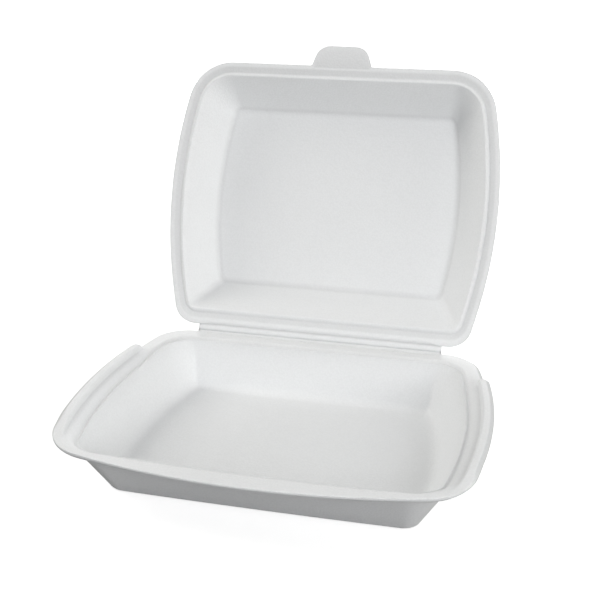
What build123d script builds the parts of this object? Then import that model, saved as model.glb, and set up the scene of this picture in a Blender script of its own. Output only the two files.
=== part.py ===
import os
from math import cos, radians, sin, sqrt

from build123d import *

# Hinged meal box of foam sheet, standing open. Lengths in millimetres, +Z up, front at -Y.
# Plan lengths named back, front and start are measured forwards from the hinge line.

# Foam sheet
sheet = 2.6
lid_sheet = 2.1
overrun = 10.0
level_match = 0.001

# Plan of the lid's lip, which leads all the other outlines
lip_half_width = 112.2
lip_bow_radius = 315.0
bow_forward = 0.9
lip_back = 4.6
lip_front = 185.7
lip_back_corner = 15.5
lip_front_corner = 30.6

# Hinge line and the lid's place
hinge_height = 37.1
opening_angle = 111.0
closing_gap = 0.3

# Base: terrace rim that the closed lid lies on
rim_back = 0.4
rim_back_corner = 24.6
rim_round = 1.6
rim_overhang = 5.4
terrace_width = 7.7
terrace_back_width = 14.1
terrace_front_width = 9.2
ledge_width = 1.3
ledge_depth = 1.4

# Base: ears beside the closed lid, and the bowed front flange that they sink into
ear_clearance = 0.9
ear_width = 7.1
ear_rise = 4.0
ear_start = 42.0
ear_start_rise = 5.0
ear_start_bend = 4.0
ear_end_setback = 43.2
ear_end_fall = 36.0
ear_end_bend = 120.0
ear_tip_round = 4.0
ear_edge_round = 1.2
flange_setback = 8.8
flange_bow = 16.5
flange_corner = 31.7

# Base: well and foot
well_corner = 19.0
well_front_bow = 1.2
side_wall_run = 15.8
back_wall_run = 7.3
front_wall_run = 22.9
wall_spread = 3.0
floor_bow_radius = 268.0
floor_front_bow = 1.2
floor_corner = 7.0
floor_round = 6.0
foot_spread = 1.4
foot_round = 2.5

# Living hinge: upright strip on the base, film on the lid
strip_inset = 31.0
strip_thickness = 1.1
strip_gap = 0.6
film_thickness = 0.6
film_gap = 0.25

# Lid: rim bead with its channel, and thumb tab
bead_inset = 1.8
bead_rise = 1.5
bead_draw = 0.9
channel_inset = 2.7
channel_width = 4.2
channel_depth = 1.5
tab_foot_half_width = 20.5
tab_tip_half_width = 16.0
tab_reach = 13.6
tab_tip_round = 8.5
tab_foot_round = 1.2

# Lid: well and panel
ridge_inset = 9.4
crown_spread = 2.6
panel_side_inset = 27.2
panel_back_inset = 30.4
panel_front_inset = 26.6
panel_bow_radius = 280.0
panel_corner = 5.5
panel_height = 25.3
panel_round = 3.0
panel_spread = 1.1
crown_round = 6.0

# Places that follow from these sizes
bow_centre = (lip_back + lip_front) / 2 + bow_forward
rim_height = hinge_height - lid_sheet / 2 - closing_gap
valley_half_width = lip_half_width + ear_clearance
valley_front = lip_front + ear_clearance
valley_corner = lip_front_corner + ear_clearance
ear_half_width = valley_half_width + ear_width
ear_end = lip_front - ear_end_setback
flange_front = lip_front - flange_setback
well_half_width = valley_half_width - terrace_width
well_back = rim_back + terrace_back_width
well_front = valley_front - terrace_front_width
floor_half_width = well_half_width - side_wall_run
floor_back = well_back + back_wall_run
floor_front = well_front - front_wall_run
panel_half_width = lip_half_width - panel_side_inset
panel_back = lip_back + panel_back_inset
panel_front = lip_front - panel_front_inset
strip_half_length = lip_half_width - strip_inset
hinge_back = (floor_back + floor_front) / 2

base_plane = Plane(origin=(0, hinge_back, 0))
rim_plane = base_plane.offset(rim_height - sheet)
lid_plane = Plane(
    origin=(0, hinge_back, hinge_height),
    x_dir=(1, 0, 0),
    z_dir=(0, sin(radians(opening_angle)), cos(radians(opening_angle))),
)
lip_plane = lid_plane.offset(-lid_sheet / 2)


def bowed_outline(half_width, bow_radius, back, back_corner, front, front_corner, front_bow=0):
    """Plan outline with a straight back edge, bowed sides, a straight or bowed front and rounded corners."""

    def side_at(distance):
        return half_width - bow_radius + sqrt(bow_radius**2 - (distance - bow_centre) ** 2)

    with BuildSketch(mode=Mode.PRIVATE) as outline:
        with BuildLine():
            Line((-side_at(back), -back), (side_at(back), -back))
            ThreePointArc((side_at(back), -back), (half_width, -bow_centre), (side_at(front), -front))
            if front_bow:
                ThreePointArc((side_at(front), -front), (0, -front - front_bow), (-side_at(front), -front))
            else:
                Line((side_at(front), -front), (-side_at(front), -front))
            ThreePointArc((-side_at(front), -front), (-half_width, -bow_centre), (-side_at(back), -back))
        make_face()
        fillet(outline.vertices().sort_by(Axis.Y)[-2:], back_corner)
        fillet(outline.vertices().sort_by(Axis.Y)[:2], front_corner)
    return outline.sketch


def beside_lip(half_width):
    """Bow radius of a side that runs parallel to the lid's lip."""
    return lip_bow_radius + half_width - lip_half_width


def well_outline(spread):
    """Mouth of the base's well, widened all round by a spread."""
    half_width = well_half_width + spread
    corner = well_corner + spread
    return bowed_outline(
        half_width,
        beside_lip(half_width),
        well_back - spread,
        corner,
        well_front + spread,
        corner,
        well_front_bow,
    )


def floor_outline(spread):
    """Floor of the base, widened all round by a spread."""
    corner = floor_corner + spread
    return bowed_outline(
        floor_half_width + spread,
        floor_bow_radius + spread,
        floor_back - spread,
        corner,
        floor_front + spread,
        corner,
        floor_front_bow,
    )


def valley_outline(spread):
    """Inner foot of the ears, just outside the closed lid's lip, widened by a spread."""
    half_width = valley_half_width + spread
    return bowed_outline(
        half_width,
        beside_lip(half_width),
        rim_back,
        rim_back_corner,
        valley_front + spread,
        valley_corner + spread,
    )


def flange_outline():
    """Outer edge of the ears and of the bowed front flange."""
    return bowed_outline(
        ear_half_width,
        beside_lip(ear_half_width),
        rim_back,
        rim_back_corner,
        flange_front,
        flange_corner,
        flange_bow,
    )


def lip_outline(inset):
    """Outer edge of the lid, drawn in all round by an inset."""
    half_width = lip_half_width - inset
    return bowed_outline(
        half_width,
        beside_lip(half_width),
        lip_back + inset,
        lip_back_corner - inset,
        lip_front - inset,
        lip_front_corner - inset,
    )


def panel_outline(spread):
    """Flat panel of the lid, widened all round by a spread."""
    corner = panel_corner + spread
    return bowed_outline(
        panel_half_width + spread,
        panel_bow_radius + spread,
        panel_back - spread,
        corner,
        panel_front + spread,
        corner,
    )


def ear_profile(foot_drop):
    """Side view of an ear: a short rise at the back, a long fall into the front flange."""
    top = [
        (hinge_back - ear_start, rim_height),
        (hinge_back - ear_start - ear_start_rise, rim_height + ear_rise),
        (hinge_back - ear_end, rim_height + ear_rise),
        (hinge_back - ear_end - ear_end_fall, rim_height),
        (hinge_back - flange_front - flange_bow - overrun, rim_height),
    ]
    if foot_drop:
        under = [(y, z - sheet) for y, z in reversed(top)]
    else:
        under = [(top[-1][0], rim_height - sheet), (top[0][0], rim_height - sheet)]
    with BuildSketch(mode=Mode.PRIVATE) as profile:
        with BuildLine():
            Polyline(*top, *under, close=True)
        make_face()
        fillet(profile.vertices().filter_by_position(Axis.X, top[1][0], top[1][0]), ear_start_bend)
        fillet(profile.vertices().filter_by_position(Axis.X, top[2][0], top[2][0]), ear_end_bend)
        fillet(profile.vertices().filter_by_position(Axis.X, top[3][0], top[3][0]), ear_end_bend)
    return profile.sketch


def level_edges(body, plane, level):
    """Edges of a body that lie at one level above a plane."""

    def at_level(corner):
        return abs(plane.to_local_coords(Vector(corner.X, corner.Y, corner.Z)).Z - level) < level_match

    return body.edges().filter_by(lambda edge: all(at_level(corner) for corner in edge.vertices()))


# Terrace: flat rim round the well, rolled down at its outer edge
with BuildPart() as terrace:
    with BuildSketch(rim_plane):
        add(valley_outline(rim_overhang))
    extrude(amount=sheet)
    fillet(level_edges(terrace, base_plane, rim_height), rim_round)
    with BuildSketch(rim_plane):
        add(flange_outline())
    extrude(amount=sheet, mode=Mode.INTERSECT)

# Rounded block that the ears are cut from
with BuildPart() as ear_block:
    with BuildSketch(rim_plane):
        add(flange_outline())
    extrude(amount=sheet + ear_rise)
    fillet(level_edges(ear_block, base_plane, rim_height + ear_rise), ear_edge_round)

# Ear plates: raised flanges that hold the closed lid between them and sink into the front flange
with BuildPart() as ear_plates:
    with BuildSketch(rim_plane) as ear_plan:
        add(flange_outline())
        add(valley_outline(0), mode=Mode.SUBTRACT)
        with Locations((0, -ear_start)):
            Rectangle(
                (ear_half_width + overrun) * 2,
                ear_start + overrun,
                align=(Align.CENTER, Align.MIN),
                mode=Mode.SUBTRACT,
            )
        tips = ear_plan.vertices().group_by(Axis.Y)[-1].sort_by(Axis.X)
        fillet([tips[0], tips[-1]], ear_tip_round)
    extrude(amount=sheet + ear_rise)
    with BuildSketch(Plane.YZ):
        add(ear_profile(True))
    extrude(amount=ear_half_width + overrun, both=True, mode=Mode.INTERSECT)
    add(ear_block.part, mode=Mode.INTERSECT)

# Risers: the steps up from the terrace to the ears
with BuildPart() as ear_risers:
    with BuildSketch(rim_plane):
        add(valley_outline(sheet))
        add(valley_outline(0), mode=Mode.SUBTRACT)
        add(flange_outline(), mode=Mode.INTERSECT)
    extrude(amount=sheet + ear_rise)
    with BuildSketch(Plane.YZ):
        add(ear_profile(False))
    extrude(amount=ear_half_width + overrun, both=True, mode=Mode.INTERSECT)

with BuildPart() as base_tray:
    # Outside of the well
    with BuildSketch(base_plane):
        add(floor_outline(foot_spread))
    with BuildSketch(base_plane.offset(rim_height)):
        add(well_outline(wall_spread))
    loft()
    # Rim with its ears
    add(terrace.part)
    add(ear_plates.part)
    add(ear_risers.part)
    # Upright strip of the living hinge
    with BuildSketch(rim_plane):
        Rectangle(strip_half_length * 2, strip_thickness)
    extrude(amount=hinge_height - strip_gap - rim_height + sheet)
    # Inside of the well, with a ledge under the terrace's inner edge
    with BuildSketch(base_plane.offset(sheet)):
        add(floor_outline(0))
    with BuildSketch(base_plane.offset(rim_height)):
        add(well_outline(0))
    loft(mode=Mode.SUBTRACT)
    with BuildSketch(base_plane.offset(rim_height)):
        add(well_outline(ledge_width))
    extrude(amount=-ledge_depth, mode=Mode.SUBTRACT)
    # Soft edges of the floor
    fillet(level_edges(base_tray, base_plane, sheet), floor_round)
    fillet(level_edges(base_tray, base_plane, 0), foot_round)

with BuildPart() as lid:
    # Lip flange with the thumb tab
    with BuildSketch(lip_plane) as lip_face:
        add(lip_outline(0))
        with BuildLine():
            Polyline(
                (-tab_foot_half_width, -lip_front + bead_inset),
                (-tab_foot_half_width, -lip_front),
                (-tab_tip_half_width, -lip_front - tab_reach),
                (tab_tip_half_width, -lip_front - tab_reach),
                (tab_foot_half_width, -lip_front),
                (tab_foot_half_width, -lip_front + bead_inset),
                close=True,
            )
        make_face()
        fillet(lip_face.vertices().sort_by(Axis.Y)[:2], tab_tip_round)
        front_corners = lip_face.vertices().filter_by_position(Axis.Y, -lip_front, -lip_front)
        fillet(front_corners.sort_by_distance((0, -lip_front))[:2], tab_foot_round)
    extrude(amount=lid_sheet)
    # Rim bead on the outside
    with BuildSketch(lid_plane.offset(lid_sheet / 2)):
        add(lip_outline(bead_inset))
    with BuildSketch(lid_plane.offset(lid_sheet / 2 + bead_rise)):
        add(lip_outline(bead_inset + bead_draw))
    loft()
    # Film of the living hinge
    with BuildSketch(lid_plane.offset(-film_thickness / 2)):
        with Locations((0, -film_gap)):
            Rectangle(strip_half_length * 2, lip_back + bead_inset, align=(Align.CENTER, Align.MAX))
    extrude(amount=film_thickness)
    # Outside of the lid's well
    with BuildSketch(lid_plane):
        add(lip_outline(ridge_inset - crown_spread))
    with BuildSketch(lid_plane.offset(panel_height + lid_sheet)):
        add(panel_outline(panel_spread))
    loft()
    # Inside of the lid's well
    with BuildSketch(lip_plane):
        add(lip_outline(ridge_inset))
    with BuildSketch(lid_plane.offset(panel_height)):
        add(panel_outline(0))
    loft(mode=Mode.SUBTRACT)
    # Channel under the bead
    with BuildSketch(lip_plane):
        add(lip_outline(channel_inset))
        add(lip_outline(channel_inset + channel_width), mode=Mode.SUBTRACT)
    extrude(amount=channel_depth, mode=Mode.SUBTRACT)
    # Soft edges of the panel
    fillet(level_edges(lid, lid_plane, panel_height), panel_round)
    fillet(level_edges(lid, lid_plane, panel_height + lid_sheet), crown_round)

os.makedirs("parts", exist_ok=True)
base_tray.part.label = "base_tray"
lid.part.label = "lid"
export_step(base_tray.part, "parts/base_tray.step")
export_step(lid.part, "parts/lid.step")
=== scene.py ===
import bpy
import numpy as np
from mathutils import Matrix


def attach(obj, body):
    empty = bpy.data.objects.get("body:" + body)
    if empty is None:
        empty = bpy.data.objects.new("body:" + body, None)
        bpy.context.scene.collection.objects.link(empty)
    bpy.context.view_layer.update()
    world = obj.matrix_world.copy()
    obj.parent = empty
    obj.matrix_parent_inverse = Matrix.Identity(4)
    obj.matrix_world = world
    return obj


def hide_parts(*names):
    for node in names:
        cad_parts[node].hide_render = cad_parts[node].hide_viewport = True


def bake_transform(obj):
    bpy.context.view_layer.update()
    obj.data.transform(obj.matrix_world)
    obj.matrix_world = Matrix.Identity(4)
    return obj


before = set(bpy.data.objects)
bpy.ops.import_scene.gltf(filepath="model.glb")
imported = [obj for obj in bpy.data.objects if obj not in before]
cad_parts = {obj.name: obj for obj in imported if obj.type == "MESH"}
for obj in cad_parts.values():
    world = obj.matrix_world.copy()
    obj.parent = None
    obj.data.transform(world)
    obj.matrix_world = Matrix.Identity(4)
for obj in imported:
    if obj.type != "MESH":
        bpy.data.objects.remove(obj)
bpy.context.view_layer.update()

# Base tray
# The lower half of the box: one sheet of white polystyrene foam, about 2.6 mm thick, pressed between warm
# moulds into a sloped well, a terrace rim with a raised ear at each side, and a bowed front flange. Lengths
# are in millimetres, forward from the hinge line, until the mesh is made.
mm = 0.001
hinge_back = 88.15
bow_centre = 96.05
sheet = 2.6
rim_height = 35.75
lip_half_width = 112.2
lip_bow = 315.0


def spaced(*runs):
    """Shares from 0 up to but without 1: each run (start, stop, count) is divided evenly."""
    return np.concatenate([np.linspace(start, stop, count, endpoint=False) for start, stop, count in runs])


tray_shares = {
    "back": spaced((0, 1, 16)),
    "back_corner": spaced((0, 1, 22)),
    "side": spaced((0, 0.06, 5), (0.06, 0.22, 34), (0.22, 1, 44)),
    "front_corner": spaced((0, 1, 30)),
    "front": spaced((0, 1, 40)),
}


def bowed_outline(half_width, bow, back, back_corner, front, front_corner, front_bow, shares):
    """Closed plan line of points (x, forward): a straight back, a corner arc, a side arc of radius bow
    about (half_width - bow, bow_centre), a corner arc, a front arc that stands front_bow forward in the
    middle, and the mirror image of these. A corner arc's centre lies one corner radius inside both of the
    lines that it joins."""
    side = np.array([half_width - bow, bow_centre])
    reach = side[0] + np.sqrt(bow**2 - (front - bow_centre) ** 2)
    front_radius = (reach**2 + front_bow**2) / (2 * front_bow)
    nose = np.array([0.0, front + front_bow - front_radius])
    forward = back + back_corner
    first = np.array([side[0] + np.sqrt((bow - back_corner) ** 2 - (forward - bow_centre) ** 2), forward])
    gap = nose - side
    span = np.hypot(gap[0], gap[1])
    along = ((bow - front_corner) ** 2 - (front_radius - front_corner) ** 2 + span**2) / (2 * span)
    across = np.sqrt((bow - front_corner) ** 2 - along**2)
    second = side + (gap * along + np.array([-gap[1], gap[0]]) * across) / span

    def angle(line):
        return np.arctan2(line[1], line[0])

    def arc(centre, radius, start, stop, share):
        turn = start + (stop - start) * share
        return centre + radius * np.stack([np.cos(turn), np.sin(turn)], 1)

    shoulder, brow, crest = angle(first - side), angle(second - side), angle(second - nose)
    right = np.concatenate([
        np.stack([first[0] * shares["back"], np.full(len(shares["back"]), back)], 1),
        arc(first, back_corner, -np.pi / 2, shoulder, shares["back_corner"]),
        arc(side, bow, shoulder, brow, shares["side"]),
        arc(second, front_corner, brow, crest, shares["front_corner"]),
        arc(nose, front_radius, crest, np.pi / 2, shares["front"]),
    ])
    return np.concatenate([right, [[0.0, front + front_bow]], right[:0:-1] * [-1, 1]])


def beside_lip(half_width):
    """Bow of a side that runs parallel to the lid's lip: the lip's bow, and the distance between the two."""
    return lip_bow + half_width - lip_half_width


well_half = 105.4
well_back = 14.5
well_front = 177.4
well_corner = 19
well_front_bow = 1.2


def well_line(spread):
    """Mouth of the well, widened all round by a spread."""
    half, corner = well_half + spread, well_corner + spread
    back, front = well_back - spread, well_front + spread
    return bowed_outline(half, beside_lip(half), back, corner, front, corner, well_front_bow, tray_shares)


floor_half = 89.6
floor_bow = 268
floor_back = 21.8
floor_front = 154.5
floor_corner = 7
crease_corner = 1.6


def floor_line(spread):
    """Edge of the floor, widened all round by a spread."""
    half, bow, corner = floor_half + spread, floor_bow + spread, floor_corner + spread
    back, front = floor_back - spread, floor_front + spread
    return bowed_outline(half, bow, back, corner, front, corner, well_front_bow, tray_shares)


def creased_floor(mouth):
    """Edge of the floor with nearly sharp corners. Its ends keep their stations, but each side's are
    spread in step with those of the mouth's two corner arcs and side, so that the walls meet in creases
    that fade upwards."""
    back, front, corner = floor_back, floor_front, crease_corner
    line = bowed_outline(floor_half, floor_bow, back, corner, front, corner, well_front_bow, tray_shares)
    start = len(tray_shares["back"])
    stop = start + sum(len(tray_shares[part]) for part in ("back_corner", "side", "front_corner"))

    def along(points):
        return np.concatenate([[0], np.cumsum(np.linalg.norm(np.diff(points, axis=0), axis=1))])

    run, steps = line[start:stop + 1], along(mouth[start:stop + 1])
    length = along(run)
    at = steps / steps[-1] * length[-1]
    line[start:stop + 1] = np.stack([np.interp(at, length, run[:, 0]), np.interp(at, length, run[:, 1])], 1)
    middle = len(line) // 2
    line[middle + 1:] = line[middle - 1:0:-1] * [-1, 1]
    return line


rim_back = 0.4
rim_corner = 24.6
ear_foot_half = 113.1
ear_foot_front = 186.6
ear_foot_corner = 31.5
straight = 0.001


def valley_line(spread):
    """Foot of the ears, just outside the closed lid's lip, widened by a spread."""
    half, front, corner = ear_foot_half + spread, ear_foot_front + spread, ear_foot_corner + spread
    return bowed_outline(half, beside_lip(half), rim_back, rim_corner, front, corner, straight, tray_shares)


def from_valley(line):
    """Distance of plan points outside the foot line of the ears: the largest of those from its side arc,
    its front and its back line, but within the angle that a corner arc spans, the distance from the arc's
    centre less its radius."""
    bow = beside_lip(ear_foot_half)
    side = np.array([ear_foot_half - bow, bow_centre])
    points = np.abs(line) * [1, 0] + line * [0, 1]
    far = np.linalg.norm(points - side, axis=1) - bow
    for end, radius, way in ((ear_foot_front, ear_foot_corner, 1), (rim_back, rim_corner, -1)):
        forward = end - way * radius
        centre = np.array([side[0] + np.sqrt((bow - radius) ** 2 - (forward - bow_centre) ** 2), forward])
        normal, reach = centre - side, points - centre
        turned = way * (normal[0] * reach[:, 1] - normal[1] * reach[:, 0]) > 0
        corner = np.linalg.norm(reach, axis=1) - radius
        beyond = np.maximum(far, way * (points[:, 1] - end))
        far = np.where(turned & (reach[:, 0] > 0), corner, beyond)
    return far[:, None]


def smooth(share):
    """Smoothstep: 0 below 0, 1 above 1, and 3 s^2 - 2 s^3 between."""
    share = np.clip(share, 0, 1)
    return share * share * (3 - 2 * share)


def ring(line, height, painted_shade=0.0):
    """Points of a plan line, lifted to a height, with the painted shade there, from 0 to 1, which darkens
    the colour where shade falls; both may differ from point to point."""
    return np.column_stack([line, np.broadcast_to(height, len(line)), np.broadcast_to(painted_shade, len(line))])


def soft_profile(rings, rounds, bend=7, run=3):
    """Rings carried along a profile with rounded corners. At each ring but the ends the corner is a
    quadratic Bezier curve between the points that lie its round away along both neighbours, at most 0.46
    of the way there, and the straight run from one corner to the next has a few rings of its own."""
    rings = np.asarray(rings)
    before, corner, after = rings[:-2], rings[1:-1], rings[2:]
    rounds = np.asarray(rounds, float)[:, None]
    back, on = before - corner, after - corner

    def reach(way):
        """Share of the way to a neighbour that the round takes up."""
        return np.clip(rounds / np.maximum(np.linalg.norm(way[..., :3], axis=2), 1e-6), 0, 0.46)[..., None]

    start, stop = corner + back * reach(back), corner + on * reach(on)
    t = np.linspace(0, 1, bend)[None, :, None, None]
    bends = (1 - t) ** 2 * start[:, None] + 2 * t * (1 - t) * corner[:, None] + t**2 * stop[:, None]
    t = np.linspace(0, 1, run + 2)[1:-1][None, :, None, None]
    ends = np.concatenate([start[1:], rings[-1:]])
    runs = stop[:, None] * (1 - t) + ends[:, None] * t
    parts = np.concatenate([bends, runs], 1).reshape(-1, *rings.shape[1:])
    return np.concatenate([rings[:1], parts, rings[-1:]])


def ring_surface(name, rings, poles):
    """Closed surface over a stack of rings, in millimetres of the object's frame: quads between
    neighbouring rings and stations, and a fan of triangles from each end ring to its pole. The rings'
    fourth value, the painted shade, goes into the mesh as a point attribute, 0 at both poles."""
    count, stations = rings.shape[:2]
    points = np.concatenate([rings[..., :3].reshape(-1, 3), poles]) * mm
    here = np.arange(stations)
    there = (here + 1) % stations
    low = (np.arange(count - 1) * stations)[:, None]
    high = low + stations
    quads = np.stack([low + here, low + there, high + there, high + here], -1).reshape(-1, 4)
    last = (count - 1) * stations
    first_fan = np.stack([np.full(stations, len(points) - 2), there, here], 1)
    last_fan = np.stack([np.full(stations, len(points) - 1), last + here, last + there], 1)
    mesh = bpy.data.meshes.new(name)
    mesh.from_pydata(points, [], quads.tolist() + first_fan.tolist() + last_fan.tolist())
    mesh.polygons.foreach_set("use_smooth", np.ones(len(mesh.polygons), bool))
    # Painted shade at every point, read by the foam material.
    painted_shade = np.append(rings[..., 3], [0.0, 0.0])
    mesh.attributes.new("painted_shade", "FLOAT", "POINT").data.foreach_set("value", painted_shade)
    mesh.update()
    piece = bpy.data.objects.new(name, mesh)
    bpy.context.scene.collection.objects.link(piece)
    return piece


ear_rise = 4.0
ear_start = 39.6
ear_end = 142.5
ear_run_out = 36
flange_half = 120.2
flange_front = 176.9
flange_corner = 31.7
flange_bow = 16.5
rim_width = 5.4
rim_shift = 2.0
terrace_drop = 2.6
wall_at_foot = 1.4
wall_at_rim = 3.0


def tray_rings():
    """Cross-section of the tray at every station of its outline, from the floor's inside over the rim and
    the ear or flange to the foot. At the sides the terrace slopes down to the mouth of the well; thin lines
    follow the mouth, where the surface dips in a small groove, and the foot of the ears, both darkened with
    painted shade. Outside the terrace the section follows the plain rolled rim behind the ears and the ear
    plate along them, mixed over the few millimetres of the ear's rounded tip. The outer edge rolls down at
    the back and the sides, and is cut square along the front; painted shade darkens the rolled edge and the
    cut edge. Beside the fold the rim runs 2 mm further back."""
    well, shoulder = well_line(0), well_line(wall_at_rim)
    floor, foot = creased_floor(well), floor_line(wall_at_foot)
    side, front, corner = beside_lip(flange_half), flange_front, flange_corner
    flange = bowed_outline(flange_half, side, rim_back, rim_corner, front, corner, flange_bow, tray_shares)
    rim_edge = valley_line(rim_width)
    ear = smooth((flange[:, 1] - ear_start) / 3.4)[:, None]
    edge = rim_edge + (flange - rim_edge) * ear
    beside_fold = smooth((np.abs(edge[:, 0]) - 79) / 6) * smooth((46 - edge[:, 1]) / 34)
    edge[:, 1] -= rim_shift * beside_fold
    out = edge - well
    length = np.linalg.norm(out, axis=1, keepdims=True)
    out = out / length
    narrow = np.clip(length / 14, 0, 1)
    inner, outer = from_valley(well), from_valley(edge)

    def across(spread, margin):
        """Points straight out from the well towards the outer edge, where they are a spread outside the
        ears' foot line, but held a margin inside the edge by a soft minimum; where the rim is narrow the
        margin shrinks."""
        far = length * (spread - inner) / np.maximum(outer - inner, 1.0)
        room = length - margin * narrow
        return well + out * (far + room - np.sqrt((far - room) ** 2 + narrow**2)) / 2

    def rise(line):
        """Height of the ear over the rim: up over 4 mm at its back, slowly down into the front flange,
        and none inside the foot line, where the closed lid's lip lies."""
        forward = line[:, 1]
        outside = smooth((from_valley(line)[:, 0] + 0.6) / 1.6)
        down = smooth((ear_end + ear_run_out - forward) / ear_run_out)
        return ear_rise * outside * smooth((forward - ear_start) / 4) * down

    along = edge[:, 1]
    deep = smooth((along - ear_start) / 5) * smooth((174 - along) / 18)
    rolled = smooth((172 - along) / 22)
    low = terrace_drop * smooth((along - 20) / 34) * smooth((180 - along) / 26)

    def on_wall(height):
        """Plan line of the wall at a height, where the well is as deep as at its ends."""
        return floor + (well - floor) * (height - sheet) / (rim_height - sheet)

    outer_top = foot + (shoulder - foot) * (rim_height - sheet) / rim_height + out * 0.7 * low[:, None]
    terrace, valley_low, crest = across(-2.6, 5.6), across(-0.1, 4.3), across(1.1, 3.3)
    step = np.minimum(3.1, 0.62 * np.linalg.norm(terrace - well, axis=1, keepdims=True))
    brow = edge - out * (0.5 + 2.5 * rolled[:, None]) * narrow
    roll = edge - out * (0.3 + 1.9 * rolled[:, None]) * narrow
    under = across(sheet, 1.4)
    middle = np.array([0.0, hinge_back])
    # The fourth values are painted shade: in the groove along the mouth and fading out down the top of the
    # wall, at the foot of the ears, on the rolled edge, and on the cut edge and its underside.
    return [
        (ring(middle + (floor - middle) * 0.05, sheet), 0),
        (ring(floor, sheet), 6.0),
        (ring(on_wall(rim_height - 10), rim_height - 10 - 0.5 * low), 3.0),
        (ring(on_wall(rim_height - 3.8), rim_height - 3.8 - low, 0.12), 0.8),
        (ring(on_wall(rim_height - 0.9), rim_height - 0.9 - low, 0.25), 0.9),
        (ring(well + out * step * 0.39, rim_height - 1.7 - low, 0.5), 0.8),
        (ring(well + out * step, rim_height - 0.85 * low), 1.0),
        (ring(terrace, rim_height - 0.23 * low), 1.0),
        (ring(valley_low, rim_height + 0.3 * deep, 0.5 * deep), 0.6),
        (ring(crest, rim_height + 0.94 * rise(crest)), 0.9),
        (ring(brow, rim_height + rise(brow)), 0.5),
        (ring(roll, rim_height + rise(roll) - 0.05 - 0.4 * rolled, 0.85 * rolled), 0.5),
        (ring(edge, rim_height + rise(edge) - 0.25 - 1.6 * rolled, 0.3 + 0.7 * rolled), 0.5),
        (ring(edge, rim_height + rise(edge) - 1.5 - 1.3 * rolled, 0.9), 0.5),
        (ring(under, rim_height + rise(under) - sheet - 0.3 * rolled, 0.3), 1.0),
        (ring(across(sheet - 0.8, 2.2), rim_height - sheet - 0.1), 1.0),
        (ring(outer_top, rim_height - sheet - 0.6 * low), 1.5),
        (ring(foot, 0), 2.6),
        (ring(middle + (foot - middle) * 0.05, 0), 0),
    ]


def in_base(points):
    """Plan points (x, forward, height) in the object's frame."""
    placed = points.copy()
    placed[..., 1] = hinge_back - points[..., 1]
    return placed


section = tray_rings()
tray_stack = soft_profile([points for points, _ in section], [size for _, size in section[1:-1]])
tray_poles = np.array([[0.0, hinge_back, sheet], [0.0, hinge_back, 0.0]])
tray = ring_surface("tray_foam", in_base(tray_stack), in_base(tray_poles))


def link(tree, source, target):
    """Joins two sockets, each given as (node, name)."""
    tree.links.new(source[0].outputs[source[1]], target[0].inputs[target[1]])


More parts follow.
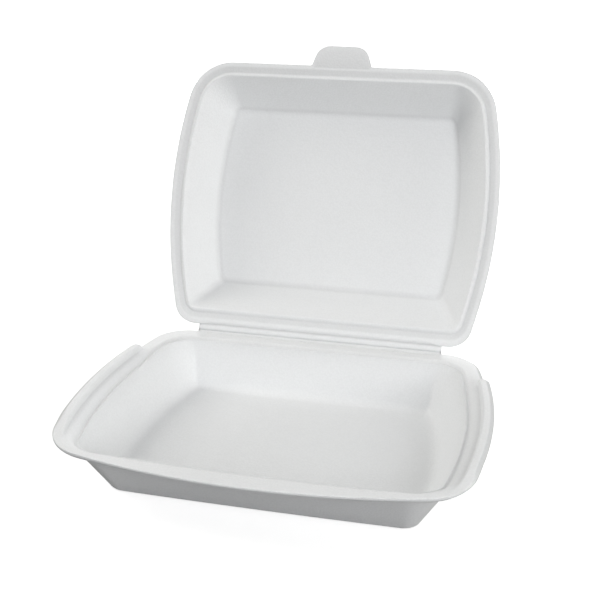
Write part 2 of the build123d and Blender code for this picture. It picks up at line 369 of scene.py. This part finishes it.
def foam_group():
    """Skin of pressed foam beads: a colour that drifts between two tints over some centimetres, small
    cells that stand up between thin joints, and a roughness that is lower on the cells than between them.
    The input for painted shade, from 0 to 1, darkens the colour by up to 23 per cent: painted shade in
    grooves, creases and along rolled and cut edges, where shade falls."""
    group = bpy.data.node_groups.new("foam_cells", "ShaderNodeTree")
    for name, kind, value in (
        ("Light", "NodeSocketColor", (0.9, 0.91, 0.9, 1)),
        ("Dark", "NodeSocketColor", (0.86, 0.88, 0.87, 1)),
        ("Cell Scale", "NodeSocketFloat", 700.0),
        ("Joint", "NodeSocketFloat", 0.5),
        ("Painted Shade", "NodeSocketFloat", 0.0),
    ):
        group.interface.new_socket(name, in_out="INPUT", socket_type=kind).default_value = value
    for name, kind in (
        ("Color", "NodeSocketColor"),
        ("Roughness", "NodeSocketFloat"),
        ("Height", "NodeSocketFloat"),
    ):
        group.interface.new_socket(name, in_out="OUTPUT", socket_type=kind)
    inside = group.nodes.new("NodeGroupInput")
    result = group.nodes.new("NodeGroupOutput")
    place = group.nodes.new("ShaderNodeTexCoord")
    cells = group.nodes.new("ShaderNodeTexVoronoi")
    cells.feature = "SMOOTH_F1"
    cells.inputs["Smoothness"].default_value = 0.35
    cells.inputs["Randomness"].default_value = 0.85
    grain = group.nodes.new("ShaderNodeTexNoise")
    grain.inputs["Scale"].default_value = 260.0
    grain.inputs["Detail"].default_value = 3.0
    drift = group.nodes.new("ShaderNodeTexNoise")
    drift.inputs["Scale"].default_value = 22.0
    drift.inputs["Detail"].default_value = 4.0
    for texture in (cells, grain, drift):
        link(group, (place, "Object"), (texture, "Vector"))
    link(group, (inside, "Cell Scale"), (cells, "Scale"))
    dome = group.nodes.new("ShaderNodeMapRange")
    dome.inputs["From Min"].default_value = 0.0
    dome.inputs["From Max"].default_value = 0.75
    dome.inputs["To Min"].default_value = 1.0
    dome.inputs["To Max"].default_value = 0.0
    link(group, (cells, "Distance"), (dome, "Value"))
    blend = group.nodes.new("ShaderNodeMix")
    blend.data_type = "RGBA"
    link(group, (drift, "Fac"), (blend, 0))
    link(group, (inside, "Dark"), (blend, 6))
    link(group, (inside, "Light"), (blend, 7))
    shade = group.nodes.new("ShaderNodeMapRange")
    shade.inputs["To Min"].default_value = 0.955
    shade.inputs["To Max"].default_value = 1.0
    link(group, (dome, "Result"), (shade, "Value"))
    tone = group.nodes.new("ShaderNodeVectorMath")
    tone.operation = "SCALE"
    link(group, (blend, 2), (tone, 0))
    # Painted shade: the colour falls to 0.77 of itself where the painted shade is 1.
    painted_darkening = group.nodes.new("ShaderNodeMapRange")
    painted_darkening.inputs["To Min"].default_value = 1.0
    painted_darkening.inputs["To Max"].default_value = 0.77
    link(group, (inside, "Painted Shade"), (painted_darkening, "Value"))
    depth = group.nodes.new("ShaderNodeMath")
    depth.operation = "MULTIPLY"
    link(group, (shade, "Result"), (depth, 0))
    link(group, (painted_darkening, "Result"), (depth, 1))
    link(group, (depth, "Value"), (tone, "Scale"))
    link(group, (tone, "Vector"), (result, "Color"))
    gloss = group.nodes.new("ShaderNodeMapRange")
    gloss.inputs["To Min"].default_value = 0.66
    gloss.inputs["To Max"].default_value = 0.48
    link(group, (dome, "Result"), (gloss, "Value"))
    link(group, (gloss, "Result"), (result, "Roughness"))
    height = group.nodes.new("ShaderNodeMath")
    height.operation = "MULTIPLY_ADD"
    link(group, (dome, "Result"), (height, 0))
    link(group, (inside, "Joint"), (height, 1))
    link(group, (grain, "Fac"), (height, 2))
    link(group, (height, "Value"), (result, "Height"))
    return group


foam_cells = foam_group()


def foam_finish(name, light, dark, cell_scale, joint, depth):
    """Matt polystyrene: the cell group gives colour, roughness and the height of a shallow bump."""
    finish = bpy.data.materials.new(name)
    finish.use_nodes = True
    tree = finish.node_tree
    shader = tree.nodes["Principled BSDF"]
    cells = tree.nodes.new("ShaderNodeGroup")
    cells.node_tree = foam_cells
    cells.inputs["Light"].default_value = (*light, 1)
    cells.inputs["Dark"].default_value = (*dark, 1)
    cells.inputs["Cell Scale"].default_value = cell_scale
    cells.inputs["Joint"].default_value = joint
    # Painted shade: the mesh's point attribute darkens the colour through the cell group.
    painted_shade = tree.nodes.new("ShaderNodeAttribute")
    painted_shade.attribute_name = "painted_shade"
    link(tree, (painted_shade, "Fac"), (cells, "Painted Shade"))
    bump = tree.nodes.new("ShaderNodeBump")
    bump.inputs["Strength"].default_value = 0.5
    bump.inputs["Distance"].default_value = depth
    link(tree, (cells, "Color"), (shader, "Base Color"))
    link(tree, (cells, "Roughness"), (shader, "Roughness"))
    link(tree, (cells, "Height"), (bump, "Height"))
    link(tree, (bump, "Normal"), (shader, "Normal"))
    shader.inputs["IOR"].default_value = 1.45
    shader.inputs["Specular IOR Level"].default_value = 0.4
    return finish


foam_white = (0.856, 0.866, 0.872)
skin = foam_finish("foam_skin", foam_white, (0.826, 0.838, 0.845), 800, 0.6, 0.00022)
tray.data.materials.append(skin)
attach(tray, "base")
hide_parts("base_tray")

# Lid
# The upper half, pressed from the same sheet and a little thinner: a flat panel inside a sloped wall, a lip
# with a pressed channel that stands out as a bead on the outside, and a rounded thumb tab at the middle of
# its free edge. Worked out flat, as (x, forward, outward) from the hinge line, then turned open.
hinge_height = 37.1
opening = np.radians(111.0)
lid_sheet = 2.1
panel_height = 25.3
lip_front = 185.7
lip_corner = 30.6
lip_back = 4.6
lip_back_corner = 15.5
lip_drop = 1.3
channel_inset = 6.8
bead_rise = 1.5
panel_half = 85.0
panel_bow = 280
panel_back = 35.0
panel_front = 159.1
panel_corner = 5.5
lid_middle = 97.0
tab_foot = 22.2
tab_half = 20.5
tab_tip_half = 16.0
tab_reach = 13.6
tab_steps = 48
lid_shares = {
    "back": spaced((0, 1, 20)),
    "back_corner": spaced((0, 1, 20)),
    "side": spaced((0, 1, 60)),
    "front_corner": spaced((0, 1, 30)),
}


def lip_line(inset, with_tab=False):
    """Edge of the lip drawn in by an inset. The front stretch is straight, in two runs: to the tab's
    foot, and on to the middle. With the tab, the second run goes round it at even steps: a small hollow
    at the foot, a slanting side, a round corner, each bend a quadratic Bezier curve, and half of the tip."""
    half, front, corner = lip_half_width - inset, lip_front - inset, lip_corner - inset
    bow = beside_lip(half)
    start = half - bow + np.sqrt((bow - corner) ** 2 - (front - corner - bow_centre) ** 2)
    share = 1 - tab_foot / start
    shares = dict(lid_shares, front=spaced((0, share, 18), (share, 1, tab_steps)))
    back, back_corner = lip_back + inset, lip_back_corner - inset
    line = bowed_outline(half, bow, back, back_corner, front, corner, straight, shares)
    if not with_tab:
        return line
    foot, tip = np.array([tab_half, lip_front]), np.array([tab_tip_half, lip_front + tab_reach])
    side = (tip - foot) / np.linalg.norm(tip - foot)
    sideways = np.array([1.0, 0.0])
    t = np.linspace(0, 1, 24)[:, None]

    def bend(before, point, after):
        return before * (1 - t) ** 2 + point * 2 * t * (1 - t) + after * t**2

    stops = np.concatenate([
        [[tab_foot, lip_front]],
        bend(foot + sideways * 1.2, foot, foot + side * 1.2),
        bend(tip - side * 7.6, tip, tip - sideways * 8.4),
        [[0.0, lip_front + tab_reach]],
    ])
    length = np.concatenate([[0], np.cumsum(np.linalg.norm(np.diff(stops, axis=0), axis=1))])
    at = np.linspace(0, length[-1], tab_steps, endpoint=False)
    tab = np.stack([np.interp(at, length, stops[:, 0]), np.interp(at, length, stops[:, 1])], 1)
    middle = len(line) // 2
    line[middle - tab_steps:middle] = tab
    line[middle] = stops[-1]
    line[middle + 1:middle + 1 + tab_steps] = tab[::-1] * [-1, 1]
    return line


def panel_line(spread):
    """Edge of the flat panel, widened all round by a spread, with its stations shared out as the lip's
    are."""
    half, bow, corner = panel_half + spread, panel_bow + spread, panel_corner + spread
    back, front = panel_back - spread, panel_front + spread
    shares = dict(lid_shares, front=spaced((0, 0.72, 18), (0.72, 1, tab_steps)))
    return bowed_outline(half, bow, back, corner, front, corner, straight, shares)


def lid_rings():
    """Cross-section of the lid at every station of its outline, from the panel's outside over the bead
    and the lip's edge to the panel's inside. On the tab the lip has a shallow crease across its foot, and
    at both ends of the fold the lip's edge runs 1.3 mm nearer to the base."""
    half = lid_sheet / 2
    inner_panel, outer_panel = panel_line(0), panel_line(1.1)
    crown_foot = lip_line(channel_inset)
    bead_top = half + bead_rise
    crown_low = crown_foot + (outer_panel - crown_foot) * bead_top / (panel_height + lid_sheet)
    edge = lip_line(0, True)
    edge[:, 1] -= lip_drop * smooth((np.abs(edge[:, 0]) - 74) / 8) * smooth((26 - edge[:, 1]) / 16)
    crease, ridge = lip_line(1.3), lip_line(9.4)
    on_tab = smooth((tab_foot - 1 - np.abs(crease[:, 0])) / 4) * (crease[:, 1] > lip_front - 2)
    middle = np.array([0.0, lid_middle])
    outside = panel_height + lid_sheet
    # The fourth values are painted shade: on the lip's edge, in the tab's crease, in the channel under the
    # bead and along the panel's edge, where shade falls.
    return [
        (ring(middle + (outer_panel - middle) * 0.05, outside), 0),
        (ring(outer_panel, outside), 6.0),
        (ring(crown_low, bead_top), 1.2),
        (ring(lip_line(2.7), bead_top), 0.8),
        (ring(lip_line(1.8), half), 0.6),
        (ring(edge, half, 0.4), 0.7),
        (ring(edge, -half, 0.2), 0.7),
        (ring(crease, -half + 0.5 * on_tab, 0.6 * on_tab), 0.3),
        (ring(lip_line(2.6), -half + 0.1), 0.6),
        (ring(lip_line(3.6), -half + 0.45, 0.42), 0.4),
        (ring(crown_foot, -half + 1.4, 0.5), 0.6),
        (ring(lip_line(8.2), -half + 0.15), 0.6),
        (ring(ridge, -half), 0.6),
        (ring(ridge + (inner_panel - ridge) * 0.9, -half + (panel_height + half) * 0.9), 0.4),
        (ring(inner_panel, panel_height, 0.5), 1.8),
        (ring(panel_line(-3.2), panel_height), 0.4),
        (ring(middle + (inner_panel - middle) * 0.05, panel_height), 0),
    ]


def on_lid(points):
    """Lid points (x, forward, outward) in the object's frame, turned about the hinge line by the opening
    angle."""
    forward, outward = points[..., 1], points[..., 2]
    placed = points.copy()
    placed[..., 1] = hinge_back - forward * np.cos(opening) + outward * np.sin(opening)
    placed[..., 2] = hinge_height + forward * np.sin(opening) + outward * np.cos(opening)
    return placed


section = lid_rings()
lid_stack = soft_profile([points for points, _ in section], [size for _, size in section[1:-1]])
lid_poles = np.array([[0.0, lid_middle, panel_height + lid_sheet], [0.0, lid_middle, panel_height]])
lid = ring_surface("lid_foam", on_lid(lid_stack), on_lid(lid_poles))
lid.data.materials.append(skin)
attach(lid, "lid")
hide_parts("lid")

# Fold
# The living hinge: the same sheet pressed thin along two creases with a soft rib between them, joining the
# back edge of the rim to the lid's lip.
fold_half = 83.4
fold_round = 1.2


def fold_points():
    """A flat tube along x. Its section follows a line from inside the rim to inside the lip, at half of a
    thickness that is least at the two creases, to either side; at both ends of the tube the section
    shrinks to a rounded end."""
    path = np.array([
        [86.2, 34.9], [87.6, 35.4], [88.7, 36.3], [88.2, 37.8],
        [88.8, 39.1], [90.1, 40.2], [90.3, 41.4], [90.8, 42.9],
    ])
    thick = np.array([1.4, 1.2, 0.7, 1.2, 1.2, 0.7, 1.2, 1.4])
    share = np.linspace(0, 1, len(path))
    fine = np.linspace(0, 1, 57)
    y, z = np.interp(fine, share, path[:, 0]), np.interp(fine, share, path[:, 1])
    kernel = np.array([1, 4, 6, 4, 1]) / 16

    def ease(row):
        """Running mean of five values, weighted towards the middle one."""
        return np.convolve(np.pad(row, 2, mode="edge"), kernel, mode="valid")

    y, z, t = ease(ease(y)), ease(ease(z)), ease(np.interp(fine, share, thick)) / 2
    run = np.stack([np.gradient(y), np.gradient(z)], 1)
    run /= np.linalg.norm(run, axis=1, keepdims=True)
    out = np.stack([run[:, 1], -run[:, 0]], 1)
    line = np.stack([y, z], 1)
    loop = np.concatenate([line + out * t[:, None], (line - out * t[:, None])[::-1]])
    centre = np.concatenate([line, line[::-1]])
    turn = np.linspace(0, np.pi / 2, 6)
    x = np.concatenate([
        -fold_half + fold_round - fold_round * np.cos(turn),
        np.linspace(-fold_half + fold_round, fold_half - fold_round, 60)[1:-1],
        fold_half - fold_round + fold_round * np.sin(turn),
    ])
    size = np.clip(1 - ((np.abs(x) - fold_half + fold_round).clip(0) / fold_round) ** 2, 0.02, 1) ** 0.5
    section = centre + (loop - centre) * size[:, None, None]
    # Painted shade, the fourth column, darkens the two creases, where the sheet is thinnest.
    thin = np.clip((1.2 - 2 * np.concatenate([t, t[::-1]])) / 0.5, 0, 1)
    shape = section.shape[:2] + (1,)
    columns = [np.broadcast_to(x[:, None, None], shape), section, np.broadcast_to(0.8 * thin[:, None], shape)]
    return np.concatenate(columns, -1), line.mean(0)


fold_rings, fold_middle = fold_points()
fold_poles = np.array([[-fold_half, *fold_middle], [fold_half, *fold_middle]])
fold = ring_surface("fold_strip", fold_rings, fold_poles)
fold_foam = foam_finish("fold_foam", foam_white, (0.82, 0.832, 0.84), 1100, 0.3, 0.00012)
fold.data.materials.append(fold_foam)
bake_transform(fold)

# Studio
# A pale floor that runs out to a white surround, five large soft lamps at the front right, right, left,
# back right and back, and the camera where the photograph was taken from.
floor_size = 60.0
floor_mesh = bpy.data.meshes.new("studio_floor")
corner = floor_size / 2
floor_corners = [(-corner, -corner, 0), (corner, -corner, 0), (corner, corner, 0), (-corner, corner, 0)]
floor_mesh.from_pydata(floor_corners, [], [(0, 1, 2, 3)])
studio_floor = bpy.data.objects.new("studio_floor", floor_mesh)
bpy.context.scene.collection.objects.link(studio_floor)
paper = bpy.data.materials.new("studio_paper")
paper.use_nodes = True
paper_shader = paper.node_tree.nodes["Principled BSDF"]
paper_shader.inputs["Roughness"].default_value = 0.9
paper_shader.inputs["Emission Color"].default_value = (1, 1, 1, 1)
seen = paper.node_tree.nodes.new("ShaderNodeLightPath")
lift = paper.node_tree.nodes.new("ShaderNodeMath")
lift.operation = "MULTIPLY"
place = paper.node_tree.nodes.new("ShaderNodeTexCoord")
away = paper.node_tree.nodes.new("ShaderNodeVectorMath")
away.operation = "LENGTH"
glow = paper.node_tree.nodes.new("ShaderNodeMapRange")
for name, value in (("From Min", 0.2), ("From Max", 1.2), ("To Min", 0.66), ("To Max", 0.97)):
    glow.inputs[name].default_value = value
link(paper.node_tree, (place, "Object"), (away, 0))
link(paper.node_tree, (away, "Value"), (glow, "Value"))
link(paper.node_tree, (seen, "Is Camera Ray"), (lift, 0))
link(paper.node_tree, (glow, "Result"), (lift, 1))
link(paper.node_tree, (lift, "Value"), (paper_shader, "Emission Strength"))
paper_tone = paper.node_tree.nodes.new("ShaderNodeMix")
paper_tone.data_type = "RGBA"
paper_tone.inputs[6].default_value = (0.25, 0.25, 0.25, 1)
paper_tone.inputs[7].default_value = (0.6, 0.6, 0.6, 1)
link(paper.node_tree, (seen, "Is Camera Ray"), (paper_tone, 0))
link(paper.node_tree, (paper_tone, 2), (paper_shader, "Base Color"))
floor_mesh.materials.append(paper)

world = bpy.data.worlds.new("studio_surround")
bpy.context.scene.world = world
world.use_nodes = True
surround = world.node_tree
sky = surround.nodes["Background"]
sky.inputs["Color"].default_value = (1, 1, 1, 1)
seen = surround.nodes.new("ShaderNodeLightPath")
shown = surround.nodes.new("ShaderNodeMath")
shown.operation = "MAXIMUM"
strength = surround.nodes.new("ShaderNodeMix")
strength.inputs["A"].default_value = 0.26
strength.inputs["B"].default_value = 1.0
link(surround, (seen, "Is Camera Ray"), (shown, 0))
link(surround, (seen, "Is Glossy Ray"), (shown, 1))
link(surround, (shown, "Value"), (strength, "Factor"))
link(surround, (strength, "Result"), (sky, "Strength"))


def soft_lamp(name, place, aim, power, colour):
    """Square area lamp, 0.9 m wide, at a place, turned to face an aim point."""
    lamp = bpy.data.lights.new(name, "AREA")
    lamp.size = 0.9
    lamp.energy = power
    lamp.color = colour
    holder = bpy.data.objects.new(name, lamp)
    back = np.array(place, float) - np.array(aim, float)
    back /= np.linalg.norm(back)
    right = np.cross([0, 0, 1], back)
    right /= np.linalg.norm(right)
    turn = np.eye(4)
    turn[:3, :3] = np.stack([right, np.cross(back, right), back], 1)
    turn[:3, 3] = place
    holder.matrix_world = Matrix(turn.tolist())
    bpy.context.scene.collection.objects.link(holder)


box_middle = (0, 0.05, 0.08)
soft_lamp("key_lamp", (0.97, -1.386, 0.696), box_middle, 18.0, (0.99, 0.99, 1.0))
soft_lamp("right_lamp", (1.712, -0.302, 0.546), box_middle, 5.4, (1.0, 0.965, 0.89))
soft_lamp("left_lamp", (-1.379, 0.0, 1.237), box_middle, 15.0, (1.0, 0.98, 0.94))
soft_lamp("back_lamp", (1.153, 1.153, 0.841), box_middle, 6.0, (0.98, 1.0, 1.0))
soft_lamp("rear_lamp", (-0.306, 1.734, 0.454), (0, 0.1, 0.1), 13.0, (1, 1, 1))

photo_width = 600
focal_pixels = 944.7
camera_place = (0.11407, -0.49248, 0.27765)
azimuth, elevation, roll = np.radians([12.263, 19.753, 0.82])
right = np.array([np.cos(azimuth), np.sin(azimuth), 0])
level = np.cos(elevation)
back = np.array([np.sin(azimuth) * level, -np.cos(azimuth) * level, np.sin(elevation)])
up = np.cross(back, right)
turn = np.eye(4)
image_right = right * np.cos(roll) + up * np.sin(roll)
image_up = up * np.cos(roll) - right * np.sin(roll)
turn[:3, :3] = np.stack([image_right, image_up, back], 1)
turn[:3, 3] = camera_place
lens = bpy.data.cameras.new("photo_camera")
lens.sensor_width = 36.0
lens.lens = focal_pixels / photo_width * lens.sensor_width
lens.clip_start = 0.01
camera = bpy.data.objects.new("photo_camera", lens)
camera.matrix_world = Matrix(turn.tolist())
bpy.context.scene.collection.objects.link(camera)
bpy.context.scene.camera = camera
bpy.context.scene.view_settings.view_transform = "Standard"
